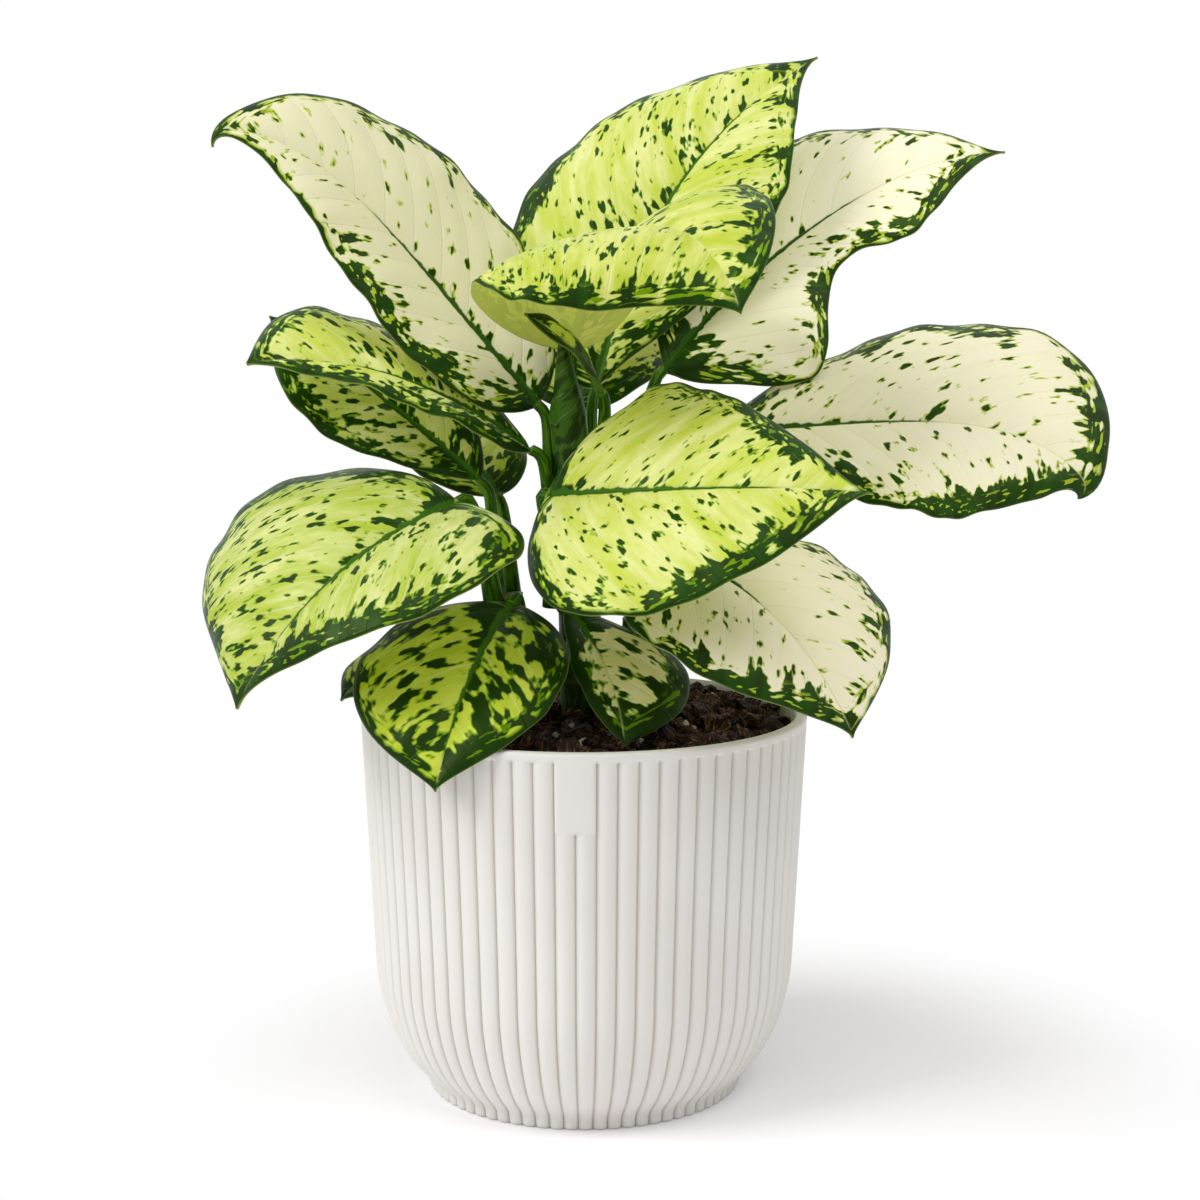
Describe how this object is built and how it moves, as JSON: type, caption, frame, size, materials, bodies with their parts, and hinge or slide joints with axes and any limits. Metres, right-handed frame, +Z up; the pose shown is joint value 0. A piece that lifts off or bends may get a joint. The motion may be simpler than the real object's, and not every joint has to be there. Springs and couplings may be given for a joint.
{
  "type": "potted chinese evergreen",
  "caption": "Chinese evergreen with broad variegated leaves on slender stalks, growing from bark-topped soil in a round ribbed plastic pot.",
  "frame": {"origin": "on the surface the pot stands on, on the pot's axis, at the centre of its flat underside", "axes": "+Z up; the pot's blank label panel faces -Y; +X is to the right seen from the panel's side"},
  "size_m": [0.2966, 0.2238, 0.3491],
  "materials": {
    "pot_plastic": "matte, off-white",
    "soil": "damp, crumbly bark compost",
    "stem": "satin green skin",
    "leaf_pale": "satin, yellow-green with dark green blotches and margin",
    "leaf_cream": "satin, ivory with dark green flecks and margin",
    "leaf_dark": "satin, dark green with pale blotches",
    "bark": "rough, dark brown",
    "perlite": "rough, white"
  },
  "bodies": {
    "root": {"pot": "pot_plastic", "potting_soil": "soil", "stem_main": "stem", "stem_left": "stem", "stem_right": "stem", "rolled_leaf": "leaf_dark", "leaf_top_left": "leaf_cream", "leaf_top_centre": "leaf_pale", "leaf_arched": "leaf_pale", "leaf_top_right": "leaf_cream", "leaf_right": "leaf_cream", "leaf_front_right": "leaf_pale", "leaf_low_right": "leaf_cream", "leaf_left_fold": "leaf_pale", "leaf_left": "leaf_pale", "leaf_left_back": "leaf_pale", "leaf_low_left": "leaf_pale", "leaf_front_low": "leaf_dark", "leaf_small_front": "leaf_dark", "leaf_low_back": "leaf_dark", "leaf_low_left_back": "leaf_dark", "leaf_back": "leaf_pale", "leaf_back_right": "leaf_pale", "leaf_young": "leaf_dark", "bark_chip_01": "bark", "bark_chip_02": "bark", "bark_chip_03": "bark", "bark_chip_04": "bark", "bark_chip_05": "bark", "bark_chip_06": "bark", "bark_chip_07": "bark", "bark_chip_08": "bark", "bark_chip_09": "bark", "bark_chip_10": "bark", "bark_chip_11": "bark", "bark_chip_12": "bark", "bark_chip_13": "bark", "bark_chip_14": "bark", "perlite_1": "perlite", "perlite_2": "perlite", "perlite_3": "perlite", "perlite_4": "perlite", "perlite_5": "perlite"}
  },
  "joints": []
}
